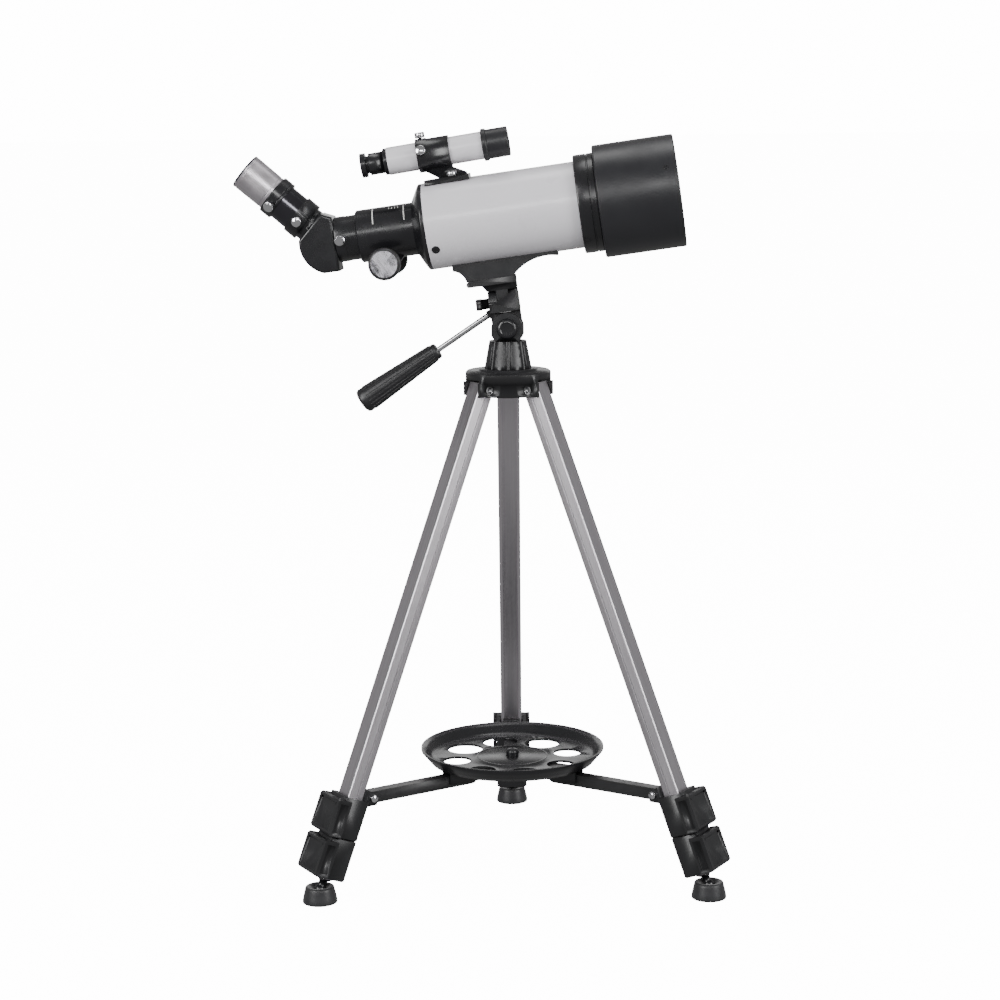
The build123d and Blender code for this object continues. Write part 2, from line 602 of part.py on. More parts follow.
def tilt_body():
    """Tongue between the cheeks, and two ears with a front web that carry the flip pin."""
    tongue_half = yoke_slot / 2 - turn_gap
    body = rod_y(-tongue_half, tongue_half, tongue_r)
    body += slab(tongue_half, (-tongue_r, 0), (tongue_r, 0), (neck_right, 5), (neck_right, neck_shoulder + 1),
                 (-neck_left, neck_shoulder + 1), (-neck_left, 5))
    ear = block(-neck_left, neck_right, -flip_ear_r, flip_ear_r, neck_shoulder, flip_v)
    body += [ear, Pos(0, 0, flip_v) * rod_x(-neck_left, neck_right, flip_ear_r)]
    web = Pos(0, -flip_ear_r - 0.6, 0) * slab(
        0.7, (-neck_left, neck_shoulder), (neck_right, neck_shoulder), (neck_right, flip_v + 10.3),
        (neck_right - 2, flip_v + 10.3), (-neck_left + 4, flip_v - 0.5), (-neck_left, flip_v - 1.6))
    slot = flip_lug_half + turn_gap
    body -= block(-slot, slot, -flip_ear_r - 1, flip_ear_r + 1, flip_v - flip_lug_r - slide_gap, flip_v + 20)
    body += web
    body -= rod_y(-yoke_t, yoke_t, tilt_bolt_r + turn_gap)
    body -= Pos(0, 0, flip_v) * rod_x(-30, 30, flip_pin_r + turn_gap)
    handle_seat = HEAD.inverse() * HANDLE
    body += handle_seat * sleeve_x(3, handle_boss_end, handle_boss_r, rod_r + turn_gap)
    return HEAD * (body - handle_seat * rod_x(rod_start - 1, 14, rod_r + turn_gap))


def flip_knob():
    """Pin of the flip hinge with its winged clamp knob."""
    start = neck_left + slide_gap
    pin = rod_x(-start, neck_right, flip_pin_r)
    knob = rod_x(-start - flip_knob_length, -start, flip_knob_h / 2)
    wing = block(-start - flip_knob_length, -start - flip_knob_length + 4.5, -flip_knob_w / 2,
                 flip_knob_w / 2, -flip_knob_h / 2, flip_knob_h / 2)
    wing = fillet(wing.edges().filter_by(Axis.X), 3)
    return HEAD * Pos(0, 0, flip_v) * (pin + knob + wing)


def platform():
    """Plate under the saddle on the lug that turns about the flip pin."""
    under = platform_v - platform_t
    plate = block(-platform_back, neck_right, -platform_half, platform_half, under, platform_v)
    plate = fillet(plate.edges().filter_by(Axis.Y).group_by(Axis.X)[0], 2.4)
    clear = flip_v + flip_ear_r + slide_gap
    neck = slab(flip_lug_r, (-neck_left, clear), (neck_right, clear), (neck_right, under),
                (-neck_left - 4, under))
    lug = block(-flip_lug_half, flip_lug_half, -flip_lug_r, flip_lug_r, flip_v, clear)
    lug += Pos(0, 0, flip_v) * rod_x(-flip_lug_half, flip_lug_half, flip_lug_r)
    lug -= Pos(0, 0, flip_v) * rod_x(-30, 30, flip_pin_r + turn_gap)
    return HEAD * (plate + neck + lug)


def handle_rod():
    rod = rod_x(rod_start, grip_start + grip_length - 12, rod_r)
    return HANDLE * chamfer(rod.edges().filter_by(GeomType.CIRCLE), 0.5)


def handle_grip():
    """Tapered grip with lengthwise flutes."""
    end = grip_start + grip_length
    body = lathed((grip_start, 0), (grip_start, grip_r0 - 1), (grip_start + 1.5, grip_r0), (end - 3, grip_r1),
                  (end - 0.5, grip_r1 - 2), (end, 0))
    for index in range(10):
        groove = block(grip_start + 6, end - 8, -0.9, 0.9, grip_r0 - 0.6, grip_r1 + 3)
        lean = Pos(grip_start, 0, 0) * Rot(0, -2.7, 0) * Pos(-grip_start, 0, 0)
        body -= Rot(36 * index, 0, 0) * lean * groove
    return HANDLE * (body - rod_x(grip_start - 1, end - 11.5, rod_r + press_gap))


# --- optical tube -----------------------------------------------------------------------
def tube_saddle():
    """Shoe that joins the tube to the platform, hollowed at both ends by large arcs."""
    bottom = platform_v + press_gap
    belly = tube_v - tube_r
    with_arcs = Polyline((saddle_block_back, bottom), (saddle_block_front, bottom))
    front = ThreePointArc((saddle_block_front, bottom), (saddle_block_front + 9.5, bottom + 7.4),
                          (saddle_front, belly - saddle_tip + 1))
    back = ThreePointArc((saddle_block_back, bottom), (saddle_block_back - 3.6, bottom + 7.2),
                         (saddle_back, belly - saddle_tip))
    rest = Polyline((saddle_front, belly - saddle_tip + 1), (saddle_front, belly + 3),
                    (saddle_back, belly + 3), (saddle_back, belly - saddle_tip))
    face = make_face(Curve() + [with_arcs, front, back, rest])
    shoe = extrude(Plane.XZ * face, saddle_half, both=True)
    return HEAD * (shoe - Pos(0, 0, tube_v) * rod_x(-200, 200, tube_r + press_gap))


def main_tube():
    return TUBE * sleeve_x(tube_back, tube_front, tube_r, tube_r - tube_wall)


def rear_cell():
    """Cap and cone that close the tube and carry the focuser."""
    spigot = tube_r - tube_wall - press_gap
    bore = rack_drop + slide_gap
    return TUBE * lathed(
        (tube_back + 8, spigot), (tube_back + 8, spigot - 2), (tube_back - 1, spigot - 2),
        (housing_back + 2.5, bore), (housing_back, bore), (housing_back, focuser_r),
        (tube_back - rear_ring, tube_r - 0.8), (tube_back - rear_ring + 0.8, tube_r), (tube_back, tube_r),
        (tube_back, spigot))


def focuser_body():
    """Housing of the rack focuser, with a gusset that holds the axle below it."""
    bore = drawtube_r + slide_gap
    body = lathed((focuser_back, bore), (focuser_back, focuser_r - 1.2), (focuser_back + 1.2, focuser_r),
                  (housing_back, focuser_r), (housing_back, bore))
    low = -focus_axle_drop - pinion_r - 2
    gusset = slab(9, (focus_axle_back - 10, -focuser_r + 2), (focus_axle_back + 16, -focuser_r + 2),
                  (focus_axle_back + 7, low), (focus_axle_back - 6, low))
    body += gusset - rod_x(-200, 0, focuser_r - 1)
    axle = Pos(focus_axle_back, 0, -focus_axle_drop)
    body -= axle * rod_y(-20, 20, focus_axle_r + turn_gap)
    side = rack_w / 2 + slide_gap
    body -= block(focuser_back - 1, housing_back + 1, -side, side, -rack_drop - slide_gap, 0)
    return TUBE * (body - axle * rod_y(-side, side, pinion_r + 0.6))


def focus_knobs():
    """Axle, pinion and the two knobs."""
    inner = focus_knob_face - focus_knob_t
    pinion = rod_y(-rack_w / 2, rack_w / 2, pinion_r)
    teeth = round(2 * pi * pinion_r / tooth_pitch)
    notch = Pos(0, 0, pinion_r) * rod_y(-rack_w, rack_w, tooth_pitch / 4)
    pinion -= [Rot(0, 360 / teeth * index, 0) * notch for index in range(teeth)]
    body = rod_y(-inner, inner, focus_axle_r) + pinion
    for side in (1, -1):
        near, far = side * inner, side * focus_knob_face
        knob = rod_y(near, far, focus_knob_r)
        knob = chamfer(knob.edges().filter_by(GeomType.CIRCLE), 1.2)
        body += [knob, rod_y(side * (inner - focus_hub_t), near, focus_hub_r)]
    return TUBE * Pos(focus_axle_back, 0, -focus_axle_drop) * body


def drawtube():
    """Sliding tube with the rack under it and the hole of its clamp screw."""
    body = sleeve_x(drawtube_end, drawtube_end + drawtube_show + drawtube_inside, drawtube_r,
                    drawtube_r - drawtube_wall)
    start, end = focus_axle_back - rack_extra, focus_axle_back + focus_travel + rack_extra
    rack = block(start, end, -rack_w / 2, rack_w / 2, -rack_drop, -drawtube_r + drawtube_wall / 2)
    notch = Pos(0, 0, -rack_drop) * rod_y(-rack_w, rack_w, tooth_pitch / 4)
    teeth = int((end - start) / tooth_pitch)
    body += rack - [Pos(start + tooth_pitch * (index + 0.5), 0, 0) * notch for index in range(teeth)]
    hole = rod_y(-5, 5, screw_shank_r + turn_gap)
    screw = Pos(drawtube_end + drawtube_screw_in, -drawtube_r, 0) * hole
    return TUBE * (body - screw)


def drawtube_screw():
    place = Pos(drawtube_end + drawtube_screw_in, 0, 0) * Rot(0, 0, -90)
    return TUBE * place * thumbscrew(drawtube_r + head_gap, nose_r + turn_gap)


def diagonal():
    """Prism housing with its push-fit nose and the stepped eyepiece holder."""
    reach = bend_back - 0.3
    a = radians(eyepiece_angle)
    out, across = Vector(-cos(a), sin(a)), Vector(-sin(a), -cos(a))
    low = out * neck_start + across * (nose_r - 1)
    high = out * neck_start - across * (nose_r - 1)
    back = ThreePointArc((-7, -26.5), (-18.5, -18.5), (low.X, low.Y))
    rest = Polyline((low.X, low.Y), (high.X, high.Y), (reach, drawtube_r + 1), (reach, -26.5), (-7, -26.5))
    body = extrude(Plane.XZ * make_face(Curve() + [back, rest]), diagonal_half, both=True)
    body = fillet(body.edges().group_by(Axis.Y)[0] + body.edges().group_by(Axis.Y)[-1], 2.5)
    body += rod_x(reach - 1, bend_back + nose_length, nose_r)
    eye = BEND.inverse() * EYE
    body += eye * (rod_x(neck_start - 8, holder_start, nose_r - 0.5) + rod_x(holder_start, holder_end, holder_r))
    body -= rod_x(-4, bend_back + nose_length + 1, nose_r - 3)
    body -= eye * rod_x(0, holder_end + 1, nose_r - 3)
    body -= eye * rod_x(holder_start + socket_floor, holder_end + 1, nose_r + turn_gap / 2)
    body -= prism_shape(press_gap)
    hole = rod_x(nose_r - 1, holder_r + 1, screw_shank_r + turn_gap)
    body -= eye * screw_place(holder_start + diagonal_screw_along, diagonal_screw_swing) * hole
    return BEND * body


def prism_shape(extra):
    """Triangular prism around the bend; extra is the gap that the housing leaves round it."""
    return slab(12 + extra, (2 + extra, -16 - extra), (-9 - extra, -16 - extra), (-15 - extra, 3),
                (2 + extra, 14 + extra))


def screw_place(along, swing):
    """Screw of the eyepiece path: along the axis, swung from the near side towards the rear."""
    return Pos(along, 0, 0) * Rot(-swing, 0, 0) * Rot(0, 0, -90)


def prism():
    return BEND * prism_shape(0)


def diagonal_screw():
    place = screw_place(holder_start + diagonal_screw_along, diagonal_screw_swing)
    return EYE * place * thumbscrew(holder_r + head_gap, nose_r + turn_gap)


def barlow():
    """Erecting lens barrel with its black collar, and the screw that holds the eyepiece."""
    inner = nose_r - 1.2
    bore = nose_r + turn_gap / 2
    start = holder_start + socket_floor + press_gap
    body = lathed((start, inner), (start, nose_r), (barlow_collar_start, nose_r),
                  (barlow_collar_start, barlow_collar_r), (barlow_collar_end, barlow_collar_r),
                  (barlow_collar_end, bore), (barlow_collar_start - 0.4, bore),
                  (barlow_collar_start - 0.4, inner))
    place = screw_place(barlow_collar_start + barlow_screw_along, barlow_screw_swing)
    body -= place * rod_x(nose_r - 2, barlow_collar_r + 2, screw_shank_r + press_gap)
    screw = place * thumbscrew(barlow_collar_r + turn_gap, nose_r + turn_gap)
    return Compound([(EYE * body).solid(), (EYE * screw).solid()])


def eyepiece():
    """Satin eyepiece body with a thin eye rim; its barrel sits in the collar."""
    inner = eyepiece_r - 2.4
    body = lathed((barlow_collar_start, inner - 1), (barlow_collar_start, nose_r - 0.1),
                  (barlow_collar_end + 0.1, nose_r - 0.1), (barlow_collar_end + 0.1, eyepiece_r - 0.4),
                  (eyepiece_end - eyecup_t, eyepiece_r), (eyepiece_end - eyecup_t, inner - 1))
    rim = lathed((eyepiece_end - eyecup_t, 8), (eyepiece_end - eyecup_t, eyepiece_r),
                 (eyepiece_end - 0.6, eyepiece_r), (eyepiece_end, eyepiece_r - 0.8), (eyepiece_end, 12),
                 (eyepiece_end - eyecup_t + 0.4, 8))
    return Compound([(EYE * body).solid(), (EYE * rim).solid()])


def eyepiece_lens():
    return EYE * lens(eyepiece_end - 11, eyepiece_r - 3.45, 3.0, 1.6)


def objective_cell():
    """Ring on the front of the tube with a spigot inside it and a seat for the lens."""
    spigot = tube_r - tube_wall - press_gap
    return TUBE * lathed(
        (tube_front - cell_spigot, spigot - 1.2), (tube_front - cell_spigot, spigot), (tube_front, spigot),
        (tube_front, cell_r - 1), (tube_front + 1, cell_r), (cell_front, cell_r),
        (cell_front, aperture_r + press_gap), (cell_front - 9, aperture_r + press_gap),
        (cell_front - 9, spigot - 2.6), (tube_front, spigot - 1.2))


def objective_lens():
    return TUBE * lens(cell_front - 8.8, aperture_r, lens_edge, lens_bulge)


def dew_shield():
    """Open shield in front of the lens, closed behind by a flange on the cell."""
    back, front = cell_front, cell_front + shield_length
    return TUBE * lathed(
        (back, aperture_r), (back, shield_r - 1.2), (back + 1.2, shield_r), (front - 1, shield_r),
        (front, shield_r - 0.8), (front, shield_r - shield_wall), (back + 2.4, shield_r - shield_wall),
        (back + 2.4, aperture_r))


# --- finder -----------------------------------------------------------------------------
def finder_bracket():
    """Ring round the finder on a slanted pedestal that is screwed to the tube."""
    drop = tube_r - finder_v
    ring = lathed((finder_ring_back, finder_tube_r + slide_gap), (finder_ring_back, finder_ring_r + 0.8),
                  (finder_ring_back + 9, finder_ring_r + 0.8), (finder_ring_back + 10, finder_ring_r),
                  (finder_ring_front, finder_ring_r), (finder_ring_front, finder_tube_r + slide_gap))
    post = slab(finder_post_half, (finder_ring_back + 3, -finder_ring_r + 1), (finder_ring_front - 2, -finder_ring_r + 1),
                (finder_foot_front - 2, drop + 4), (finder_foot_front - 2, drop - 2),
                (finder_foot_back + 18, drop - 2), (finder_foot_back + 12, drop + 3))
    base = block(finder_foot_back, finder_foot_front, -finder_foot_half, finder_foot_half, drop - 2, drop + 2.4)
    body = ring + post + base - rod_x(-90, 40, finder_tube_r + slide_gap)
    for place in finder_screw_places():
        body -= place * rod_x(finder_tube_r - 1, finder_ring_r + 2, screw_shank_r + press_gap)
    level = TUBE.inverse() * FINDER
    return TUBE * (level * body - rod_x(-100, 100, tube_r + press_gap))


def finder_screw_places():
    """Aiming screws of the ring: one on top and one on the near side."""
    along = Pos(finder_ring_back + 4.5, 0, 0)
    return along * Rot(0, -90, 0), along * Rot(0, 0, -90) * Rot(0, -15, 0)


def finder_tube():
    """White tube, its rear cap and the black hood that holds the front lens."""
    tube = sleeve_x(finder_tube_back, finder_tube_front, finder_tube_r, finder_tube_r - finder_tube_wall)
    inner = finder_tube_r - finder_tube_wall
    hood = lathed((finder_tube_front, inner), (finder_tube_front, finder_hood_lip_r),
                  (finder_tube_front + finder_hood_lip, finder_hood_lip_r),
                  (finder_tube_front + finder_hood_lip, finder_hood_r), (finder_hood_end, finder_hood_r),
                  (finder_hood_end, finder_hood_r - 1.4), (finder_tube_front + 4, inner))
    cap_back = finder_tube_back - finder_cap_t
    cap = lathed((cap_back, finder_barrel_r - 1.5 + slide_gap), (cap_back, finder_cap_r),
                 (finder_tube_back, finder_cap_r), (finder_tube_back, finder_barrel_r - 1.5 + slide_gap))
    return Compound([(FINDER * piece).solid() for piece in (tube, hood, cap)])


def finder_eyepiece():
    """Sliding eyepiece: a sleeve inside the cap, a thicker barrel and an eye flange."""
    cap_back = finder_tube_back - finder_cap_t
    sleeve = finder_barrel_r - 1.5
    return FINDER * lathed(
        (finder_eye_back, 4), (finder_eye_back, finder_eye_r), (finder_eye_back + 4.5, finder_eye_r),
        (finder_eye_back + 5, 7.6), (finder_eye_back + 7, 7.6), (finder_eye_back + 7.5, finder_barrel_r),
        (cap_back - slide_gap, finder_barrel_r), (cap_back - slide_gap, sleeve),
        (finder_tube_back + 10, sleeve), (finder_tube_back + 10, sleeve - 1.2), (finder_eye_back + 6, 5))


def finder_screws():
    """The two aiming screws, and the two thumb nuts that hold the bracket's base."""
    screw = thumbscrew(finder_ring_r + 1.2, finder_tube_r + press_gap)
    pieces = [FINDER * place * screw for place in finder_screw_places()]
    nut = Cylinder(finder_nut_r, finder_nut_t)
    nut = chamfer(nut.edges().filter_by(GeomType.CIRCLE), 0.6)
    side = finder_post_half + finder_nut_r + 0.3
    seat = tube_r + 2.9 + finder_nut_t / 2
    level = Pos(finder_foot_front - 14, 0, seat)
    pieces += [TUBE * level * Pos(0, y, 0) * nut for y in (side, -side)]
    return Compound([piece.solid() for piece in pieces])


def build():
    """Every sub-part in its place, by name."""
    shapes = {
        "hub": hub(), "leg_bolts": leg_bolts(), "spreader": spreader(), "tray": tray(),
        "tray_knob": tray_knob(), "pan_collar": pan_collar(), "pan_yoke": pan_yoke(),
        "tilt_bolt": tilt_bolt(), "tilt_body": tilt_body(), "flip_knob": flip_knob(),
        "platform": platform(), "handle_rod": handle_rod(), "handle_grip": handle_grip(),
        "tube_saddle": tube_saddle(), "main_tube": main_tube(), "rear_cell": rear_cell(),
        "objective_cell": objective_cell(), "objective_lens": objective_lens(), "dew_shield": dew_shield(),
        "focuser_body": focuser_body(), "focus_knobs": focus_knobs(), "drawtube": drawtube(),
        "drawtube_screw": drawtube_screw(), "diagonal": diagonal(), "prism": prism(),
        "diagonal_screw": diagonal_screw(), "barlow": barlow(), "eyepiece": eyepiece(),
        "eyepiece_lens": eyepiece_lens(), "finder_bracket": finder_bracket(), "finder_tube": finder_tube(),
        "finder_eyepiece": finder_eyepiece(), "finder_screws": finder_screws(),
    }
    for number, azimuth in enumerate(leg_azimuths, 1):
        place = leg_place(azimuth)
        shapes[f"leg_{number}_tube"] = place * leg_tube()
        shapes[f"leg_{number}_clamp"] = place * leg_clamp()
        shapes[f"leg_{number}_lever"] = place * clamp_lever(clamp_start)
        shapes[f"leg_{number}_mid_tube"] = place * leg_mid_tube()
        shapes[f"leg_{number}_mid_clamp"] = place * leg_mid_clamp()
        shapes[f"leg_{number}_mid_lever"] = place * clamp_lever(low_clamp_start)
        shapes[f"leg_{number}_lower_tube"] = place * leg_lower_tube()
        shapes[f"leg_{number}_foot"] = foot(azimuth)
        shapes[f"brace_{number}"] = brace(azimuth)
    return shapes


os.makedirs("parts", exist_ok=True)
for name, shape in build().items():
    export_step(shape, f"parts/{name}.step")
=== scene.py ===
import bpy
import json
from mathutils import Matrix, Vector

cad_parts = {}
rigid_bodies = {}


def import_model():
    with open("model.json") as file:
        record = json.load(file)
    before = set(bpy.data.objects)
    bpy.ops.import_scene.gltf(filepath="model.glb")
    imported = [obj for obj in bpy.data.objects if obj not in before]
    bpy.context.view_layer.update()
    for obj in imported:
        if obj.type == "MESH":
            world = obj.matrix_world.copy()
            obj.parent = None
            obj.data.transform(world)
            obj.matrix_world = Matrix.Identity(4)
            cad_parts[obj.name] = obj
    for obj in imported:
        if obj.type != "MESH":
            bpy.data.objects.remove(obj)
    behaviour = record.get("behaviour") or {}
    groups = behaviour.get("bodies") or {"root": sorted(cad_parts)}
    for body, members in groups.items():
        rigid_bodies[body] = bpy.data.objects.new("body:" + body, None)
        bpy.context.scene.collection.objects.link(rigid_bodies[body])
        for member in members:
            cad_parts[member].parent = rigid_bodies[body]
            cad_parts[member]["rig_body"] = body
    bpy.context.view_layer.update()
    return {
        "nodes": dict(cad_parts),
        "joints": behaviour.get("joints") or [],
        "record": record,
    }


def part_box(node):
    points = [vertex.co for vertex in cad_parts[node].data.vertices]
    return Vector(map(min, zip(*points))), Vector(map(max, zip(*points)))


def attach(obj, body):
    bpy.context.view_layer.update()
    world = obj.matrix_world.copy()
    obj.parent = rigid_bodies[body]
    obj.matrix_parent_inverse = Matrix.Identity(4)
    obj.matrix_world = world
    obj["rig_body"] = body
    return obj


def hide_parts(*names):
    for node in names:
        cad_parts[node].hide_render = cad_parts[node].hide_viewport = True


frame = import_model()

import json
from math import cos, pi, radians, sin

import bmesh
import bpy
from mathutils import Matrix, Vector

# Looks of a small refracting telescope on its tripod. Each piece is drawn in millimetres in the axes of the
# sub-part it belongs to (X along the tube, the leg or the handle), then put in its place by that part's matrix.

MM = 0.001
joints = {joint["name"]: joint for joint in frame["joints"]}
mounts = {mount["name"]: mount for mount in frame["record"]["mounts"]}


# --- places -----------------------------------------------------------------------------
def axes(origin, x, y):
    """Matrix from a sub-part's millimetres to the shared frame."""
    x, y = Vector(x).normalized(), Vector(y).normalized()
    turn = Matrix((x, y, x.cross(y))).transposed().to_4x4()
    return Matrix.Translation(origin) @ turn @ Matrix.Scale(MM, 4)


def span(node, place):
    """Lowest and highest corner of a CAD node, in the axes of place."""
    back = place.inverted()
    points = [back @ vertex.co for vertex in frame["nodes"][node].data.vertices]
    return [Vector(pick(point[i] for point in points) for i in range(3)) for pick in (min, max)]


tube_axis = Vector(mounts["cap_seat"]["axis"])
side_axis = Vector(joints["focus_turn"]["axis"])
pivot = Vector(joints["tilt"]["pos_m"])
seat = Vector(mounts["cap_seat"]["pos_m"])
up = Vector((0, 0, 1))

HEAD = axes(pivot, tube_axis, side_axis)
YOKE = axes(pivot, side_axis.cross(up), side_axis)
TUBE = axes(seat + tube_axis * (pivot - seat).dot(tube_axis), tube_axis, side_axis)
EYE = axes(joints["diagonal_turn"]["pos_m"], joints["barlow_pull"]["axis"], side_axis)
HANDLE = axes(joints["tilt_lock"]["pos_m"], joints["tilt_lock"]["axis"], side_axis)
finder_axis = -Vector(joints["finder_focus"]["axis"])
finder_turn = axes((0, 0, 0), finder_axis, side_axis)
finder_low, finder_high = span("finder_tube", finder_turn)
FINDER = axes(finder_turn @ ((finder_low + finder_high) / 2), finder_axis, side_axis)
LEGS = {}
for number in (1, 2, 3):
    across, down = joints[f"leg_{number}_fold"]["axis"], joints[f"leg_{number}_extend"]["axis"]
    LEGS[number] = axes(joints[f"leg_{number}_fold"]["pos_m"], Vector(across).cross(-Vector(down)), across)


# --- materials --------------------------------------------------------------------------
def linear(code):
    """sRGB hex value as a linear colour."""
    values = [int(code[i:i + 2], 16) / 255 for i in (1, 3, 5)]
    return [v / 12.92 if v <= 0.04045 else ((v + 0.055) / 1.055) ** 2.4 for v in values] + [1.0]


def add(material, kind, inputs=None, **settings):
    """Adds a node, with its settings and with values or links for its sockets."""
    made = material.node_tree.nodes.new(kind)
    for name, value in settings.items():
        setattr(made, name, value)
    for socket, value in (inputs or {}).items():
        if isinstance(value, bpy.types.NodeSocket):
            material.node_tree.links.new(value, made.inputs[socket])
        else:
            made.inputs[socket].default_value = value
    return made


def new_material(name, inputs):
    """Material with one principled shader. Returns it, the shader and the object coordinates."""
    material = bpy.data.materials.new(name)
    material.use_nodes = True
    material.node_tree.nodes.clear()
    shader = add(material, "ShaderNodeBsdfPrincipled", inputs)
    add(material, "ShaderNodeOutputMaterial", {"Surface": shader.outputs["BSDF"]})
    place = add(material, "ShaderNodeTexCoord").outputs["Object"]
    return material, shader, place


def vary(material, shader, pattern, socket, low, high):
    """Drives a number of the shader between two values with a pattern."""
    ramp = add(material, "ShaderNodeMapRange",
               {"Value": pattern, "From Min": 0.3, "From Max": 0.7, "To Min": low, "To Max": high})
    material.node_tree.links.new(ramp.outputs["Result"], shader.inputs[socket])


def tint(material, shader, pattern, dark, light):
    """Drives the shader's colour between two colours with a pattern."""
    ramp = add(material, "ShaderNodeMix", {"Factor": pattern, "A": linear(dark), "B": linear(light)},
               data_type="RGBA")
    material.node_tree.links.new(ramp.outputs[2], shader.inputs["Base Color"])


def emboss(material, shader, pattern, strength, depth_mm):
    """Bumps the surface by a pattern, to a real depth."""
    bump = add(material, "ShaderNodeBump", {"Height": pattern, "Strength": strength, "Distance": depth_mm * MM})
    material.node_tree.links.new(bump.outputs["Normal"], shader.inputs["Normal"])


def grain(material, place, size_mm, detail=2.0):
    """Noise whose spots are about size_mm across."""
    return add(material, "ShaderNodeTexNoise",
               {"Vector": place, "Scale": 1 / (size_mm * MM), "Detail": detail}).outputs["Fac"]


def white_enamel():
    """Stoved gloss enamel on an aluminium tube: even, a little warm, with a faint orange peel."""
    material, shader, place = new_material(
        "white_enamel_gloss", {"Roughness": 0.3, "IOR": 1.5, "Coat Weight": 0.35, "Coat Roughness": 0.12})
    tint(material, shader, grain(material, place, 60), "#D3D1D6", "#DBD9DD")
    vary(material, shader, grain(material, place, 25), "Roughness", 0.26, 0.36)
    emboss(material, shader, grain(material, place, 3.0), 0.12, 0.02)
    return material


def gloss_abs():
    """ABS from a polished mould: deep black with soft waves in its reflections."""
    material, shader, place = new_material("black_abs_gloss", {"IOR": 1.53})
    tint(material, shader, grain(material, place, 40), "#161618", "#1C1C1F")
    vary(material, shader, grain(material, place, 18, 4.0), "Roughness", 0.2, 0.32)
    emboss(material, shader, grain(material, place, 6.0), 0.15, 0.03)
    return material


def satin_abs():
    """ABS from a spark-eroded mould: dull black with a fine even grain."""
    material, shader, place = new_material("black_abs_satin", {"IOR": 1.53})
    tint(material, shader, grain(material, place, 30), "#18181A", "#202022")
    vary(material, shader, grain(material, place, 12, 4.0), "Roughness", 0.34, 0.46)
    emboss(material, shader, grain(material, place, 0.5), 0.15, 0.02)
    return material


def painted_shield():
    """Semi-matt black paint on the dew shield, with the slight cloudiness of a sprayed coat."""
    material, shader, place = new_material("black_paint_semi_matt", {"IOR": 1.5})
    tint(material, shader, grain(material, place, 50), "#1B1B1E", "#222225")
    vary(material, shader, grain(material, place, 22, 4.0), "Roughness", 0.33, 0.43)
    emboss(material, shader, grain(material, place, 0.8), 0.2, 0.02)
    return material


def matt_black():
    """Matt blacking inside the tube, the shield and the hood, against stray light."""
    material, shader, place = new_material("black_paint_matt", {"IOR": 1.45})
    tint(material, shader, grain(material, place, 6), "#0B0B0C", "#121213")
    vary(material, shader, grain(material, place, 3), "Roughness", 0.75, 0.95)
    return material


def drawn_aluminium(name, place_matrix):
    """Anodised extrusion: pale satin metal with fine die lines along the leg."""
    material, shader, place = new_material(name, {"Metallic": 1.0})
    turn = place_matrix.to_quaternion().to_matrix().inverted().to_euler()
    along = add(material, "ShaderNodeMapping", {"Vector": place, "Rotation": turn}).outputs["Vector"]
    line_mm, run_mm = 0.5, 60.0
    scale = [1 / (size * MM) for size in (line_mm, line_mm, run_mm)]
    lines = add(material, "ShaderNodeMapping", {"Vector": along, "Scale": scale}).outputs["Vector"]
    streaks = add(material, "ShaderNodeTexNoise", {"Vector": lines, "Scale": 1.0, "Detail": 3.0}).outputs["Fac"]
    tint(material, shader, streaks, "#B9B5BA", "#C9C6CA")
    vary(material, shader, streaks, "Roughness", 0.34, 0.46)
    emboss(material, shader, streaks, 0.25, 0.01)
    return material


def blasted_aluminium():
    """Bead-blasted and clear anodised: soft grey with a fine sparkle."""
    material, shader, place = new_material("aluminium_bead_blasted", {"Metallic": 1.0})
    tint(material, shader, grain(material, place, 0.6), "#C4BFC4", "#D6D2D7")
    vary(material, shader, grain(material, place, 8), "Roughness", 0.3, 0.4)
    emboss(material, shader, grain(material, place, 0.8), 0.08, 0.005)
    return material


def chrome():
    """Bright chrome plate: mirror-like, with faint wiping marks."""
    material, shader, place = new_material("chrome_plate_bright", {"Metallic": 1.0})
    tint(material, shader, grain(material, place, 20), "#D2D2D5", "#E4E4E6")
    vary(material, shader, grain(material, place, 9, 4.0), "Roughness", 0.06, 0.16)
    return material


def dark_chrome():
    """Black chrome on the erecting barrel: a dark mirror, so only the lights show in it."""
    material, shader, place = new_material("black_chrome_plate", {"Metallic": 1.0})
    tint(material, shader, grain(material, place, 20), "#4C4B50", "#5A595E")
    vary(material, shader, grain(material, place, 9, 4.0), "Roughness", 0.1, 0.18)
    return material


def disc_metal():
    """Spun aluminium disc let into a focus knob: pale, with fine rings that catch the light."""
    material, shader, place = new_material("aluminium_spun_disc", {"Metallic": 0.35, "Roughness": 0.4})
    tint(material, shader, grain(material, place, 8), "#D0CED6", "#DAD8DF")
    emboss(material, shader, grain(material, place, 0.7), 0.04, 0.005)
    return material


def rubber():
    """Moulded rubber of the feet: black with a low broad sheen and a dusty look."""
    material, shader, place = new_material(
        "rubber_moulded", {"IOR": 1.52, "Sheen Weight": 0.15, "Sheen Roughness": 0.5})
    tint(material, shader, grain(material, place, 15), "#19191B", "#242427")
    vary(material, shader, grain(material, place, 10, 4.0), "Roughness", 0.38, 0.52)
    emboss(material, shader, grain(material, place, 0.7), 0.3, 0.03)
    return material


def coated_glass():
    """Crown glass with a single anti-reflection coating, which leaves a faint blue-green tint."""
    material, shader, place = new_material(
        "glass_coated",
        {"IOR": 1.52, "Transmission Weight": 1.0, "Coat Weight": 0.5, "Coat Tint": linear("#9FB8E8")})
    tint(material, shader, grain(material, place, 30), "#EAF2F0", "#F4FAF8")
    vary(material, shader, grain(material, place, 20), "Roughness", 0.01, 0.03)
    return material


